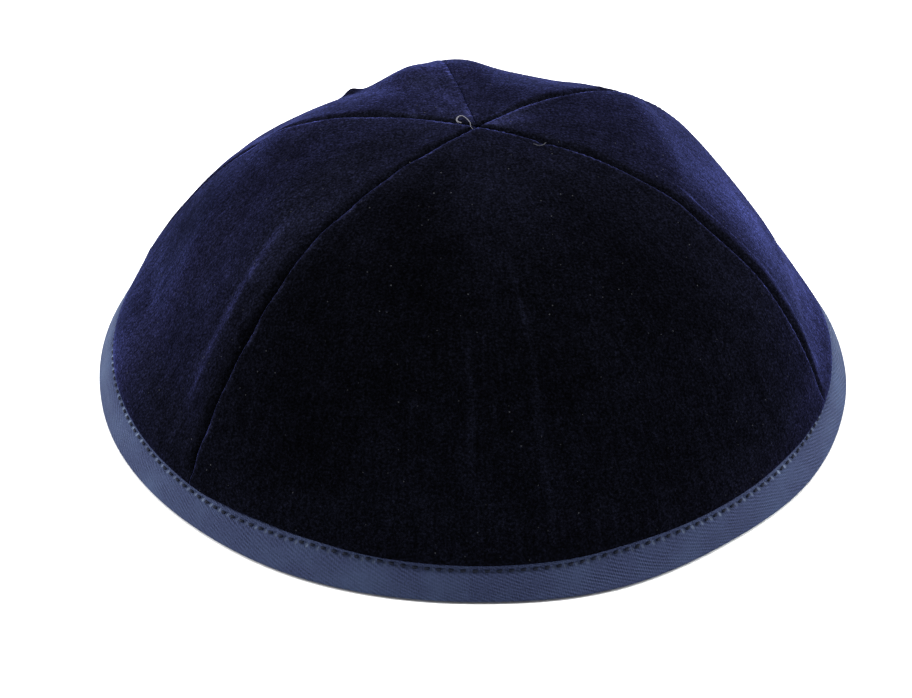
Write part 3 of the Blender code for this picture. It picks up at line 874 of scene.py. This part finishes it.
def makeStitches(name, outside):
    # each stitch lies along the groove between two needle holes and dives into both
    count = binding["stitches"]
    middle = (np.arange(count) + 0.5) * 360.0 / count
    along = np.linspace(-0.5, 0.5, stitch["steps"])
    azimuth = middle[:, None] + along[None] * stitch["share"] * 360.0 / count
    slant = 0.00008
    up = np.full_like(azimuth, stitchUp) + slant * 2 * along[None]
    sink = -stitch["proud"] + (stitch["dip"] + stitch["proud"]) * np.abs(2 * along[None]) ** 3
    depth = (0.0 if outside else stackDepth) + (1 if outside else -1) * (stitchedDepth(azimuth, up) * 0.5 + sink)
    path = crownPoint(None, azimuth, up + byAzimuth(azimuth, edgeRise) / 1000, depth)
    turn = np.radians(azimuth)
    tangent = np.stack([np.cos(turn), np.sin(turn), 0 * turn], -1)
    inward = inwardStep(up)
    square = np.stack([inward[..., 0] * np.sin(turn), -inward[..., 0] * np.cos(turn), inward[..., 1]], -1)
    square /= np.linalg.norm(square, axis=-1, keepdims=True)
    other = np.cross(tangent, square)
    radius = stitch["radius"] * np.sqrt(np.clip(1 - np.abs(2 * along[None] * 0.93) ** 4, 0.05, 1))
    radius = np.broadcast_to(radius, azimuth.shape)
    length = math.tau * crown["rimRadius"] / count * stitch["share"]
    piece = tubeMesh(name, path, square, other, radius, stitchThread, length)
    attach(piece, "root")


makeBinding()
makeStitches("rimStitchesOutside", True)
makeStitches("rimStitchesInside", False)
print("binding and stitches made")


# loose thread ends at the crown: the route in mm, to the right, to the back and over the velvet
looseThreads = {
    "crownCurl": {"radius": 0.00017, "thin": 0.35, "material": paleThread, "route": [
        (-0.3, 0.6, -0.2), (-0.85, 1.34, 0.1), (-1.0, 2.54, 0.3), (-1.75, 3.90, 0.5), (-2.75, 4.56, 0.8),
        (-3.55, 4.38, 0.7), (-3.95, 3.60, 0.5), (-3.65, 2.72, 0.4), (-2.82, 2.34, 0.4)]},
    "seamWisp": {"radius": 0.00010, "thin": 0.8, "material": shadedPaleThread, "route": [
        (12.6, -3.9, -0.2), (13.1, -4.6, 0.2), (13.9, -5.1, 0.3), (14.8, -4.8, 0.4), (15.4, -4.0, 0.5)]},
}


def overCrown(x, y, lift):
    # a point over the plain crown: the outline's height at its distance from the leaned middle
    away = np.hypot(x - crown["leanRight"], y - crown["leanBack"])
    return np.stack([x, y, np.interp(away, outline[::-1, 0], outline[::-1, 1]) + lift], -1)


def makeLooseThread(name):
    # a Catmull-Rom curve through the route, with a ring of points carried along it
    thread = looseThreads[name]
    route = np.array(thread["route"]) / 1000
    knotsAt = overCrown(route[:, 0], route[:, 1], route[:, 2])
    padded = np.vstack([2 * knotsAt[0] - knotsAt[1], knotsAt, 2 * knotsAt[-1] - knotsAt[-2]])
    x = np.linspace(0, 1, 8, endpoint=False)[:, None, None]
    a, b, c, d = padded[:-3], padded[1:-2], padded[2:-1], padded[3:]
    path = 0.5 * (2 * b + (c - a) * x + (2 * a - 5 * b + 4 * c - d) * x**2 + (3 * b - a - 3 * c + d) * x**3)
    path = np.vstack([path.transpose(1, 0, 2).reshape(-1, 3), knotsAt[-1]])
    tangent = np.gradient(path, axis=0)
    tangent /= np.linalg.norm(tangent, axis=1, keepdims=True)
    side = np.cross(tangent, [0.1, 0.2, 1.0])
    side /= np.linalg.norm(side, axis=1, keepdims=True)
    other = np.cross(tangent, side)
    along = np.linspace(-1, 1, len(path))
    ends = np.sqrt(np.clip(1 - np.abs(along) ** 16, 0.08, 1)) * (1 - (1 - thread["thin"]) * smooth(0.35 - along))
    length = np.linalg.norm(np.diff(path, axis=0), axis=1).sum()
    piece = tubeMesh(name, path[None], side[None], other[None], (thread["radius"] * ends)[None], thread["material"], length)
    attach(piece, "root")


for threadName in looseThreads:
    makeLooseThread(threadName)
print("loose threads made")


# floor, light and camera
studio = {
    "floorSize": 4.0,
    "floorColour": (0.93, 0.93, 0.93),
    "worldStrength": 0.28,
    "lights": [
        {"name": "leftSoftbox", "place": (-1.00, 0.15, 0.55), "size": (0.7, 0.9), "power": 20.0},
        {"name": "rightSoftbox", "place": (1.00, 0.20, 0.55), "size": (0.7, 0.9), "power": 20.0},
        {"name": "topSoftbox", "place": (0.00, 0.50, 1.20), "size": (1.2, 0.8), "power": 26.0},
    ],
}


def makeStudio():
    mesh = bpy.data.meshes.new("floor")
    half = studio["floorSize"] / 2
    corners = [(-half, -half, 0), (half, -half, 0), (half, half, 0), (-half, half, 0)]
    mesh.from_pydata(corners, [], [(0, 1, 2, 3)])
    floor = bpy.data.objects.new("floor", mesh)
    floor.location.z = -0.0001
    bpy.context.scene.collection.objects.link(floor)
    material, nodes, links, shader = newMaterial("paleFloor")
    shader.inputs["Base Color"].default_value = (*studio["floorColour"], 1)
    shader.inputs["Roughness"].default_value = 0.9
    shader.inputs["Specular IOR Level"].default_value = 0.1
    mesh.materials.append(material)
    world = bpy.data.worlds.new("studioWorld")
    world.use_nodes = True
    world.node_tree.nodes["Background"].inputs["Color"].default_value = (1, 1, 1, 1)
    world.node_tree.nodes["Background"].inputs["Strength"].default_value = studio["worldStrength"]
    bpy.context.scene.world = world
    for entry in studio["lights"]:
        light = bpy.data.lights.new(entry["name"], "AREA")
        light.shape = "RECTANGLE"
        light.size, light.size_y = entry["size"]
        light.energy = entry["power"]
        lamp = bpy.data.objects.new(entry["name"], light)
        lamp.location = entry["place"]
        aim = Vector((0, 0, 0.03)) - Vector(entry["place"])
        lamp.rotation_euler = aim.to_track_quat("-Z", "Y").to_euler()
        bpy.context.scene.collection.objects.link(lamp)


cameraView = {
    "distance": 0.660,
    "elevation": 36.49,
    "pitch": 36.316,
    "yaw": -0.393,
    "roll": -0.477,
    "lens": 113.80,
    "sensor": 36.0,
}


def makeCamera():
    # the photograph's own viewpoint: up and back from the rim's centre, then pitched, turned and rolled
    pitch, yaw, roll = (math.radians(cameraView[key]) for key in ("pitch", "yaw", "roll"))
    forward = Vector((math.sin(yaw) * math.cos(pitch), math.cos(yaw) * math.cos(pitch), -math.sin(pitch)))
    level = Vector((math.cos(yaw), -math.sin(yaw), 0))
    down = forward.cross(level)
    right = level * math.cos(roll) + down * math.sin(roll)
    up = -(down * math.cos(roll) - level * math.sin(roll))
    rise = math.radians(cameraView["elevation"])
    place = Vector((0, -math.cos(rise), math.sin(rise))) * cameraView["distance"]
    data = bpy.data.cameras.new("photoCamera")
    data.lens = cameraView["lens"]
    data.sensor_width = cameraView["sensor"]
    data.clip_start = 0.01
    camera = bpy.data.objects.new("photoCamera", data)
    turned = Matrix((right, up, -forward)).transposed().to_4x4()
    camera.matrix_world = Matrix.Translation(place) @ turned
    bpy.context.scene.collection.objects.link(camera)
    bpy.context.scene.camera = camera


makeStudio()
makeCamera()
bpy.context.scene.view_settings.view_transform = "Standard"
print("studio made")
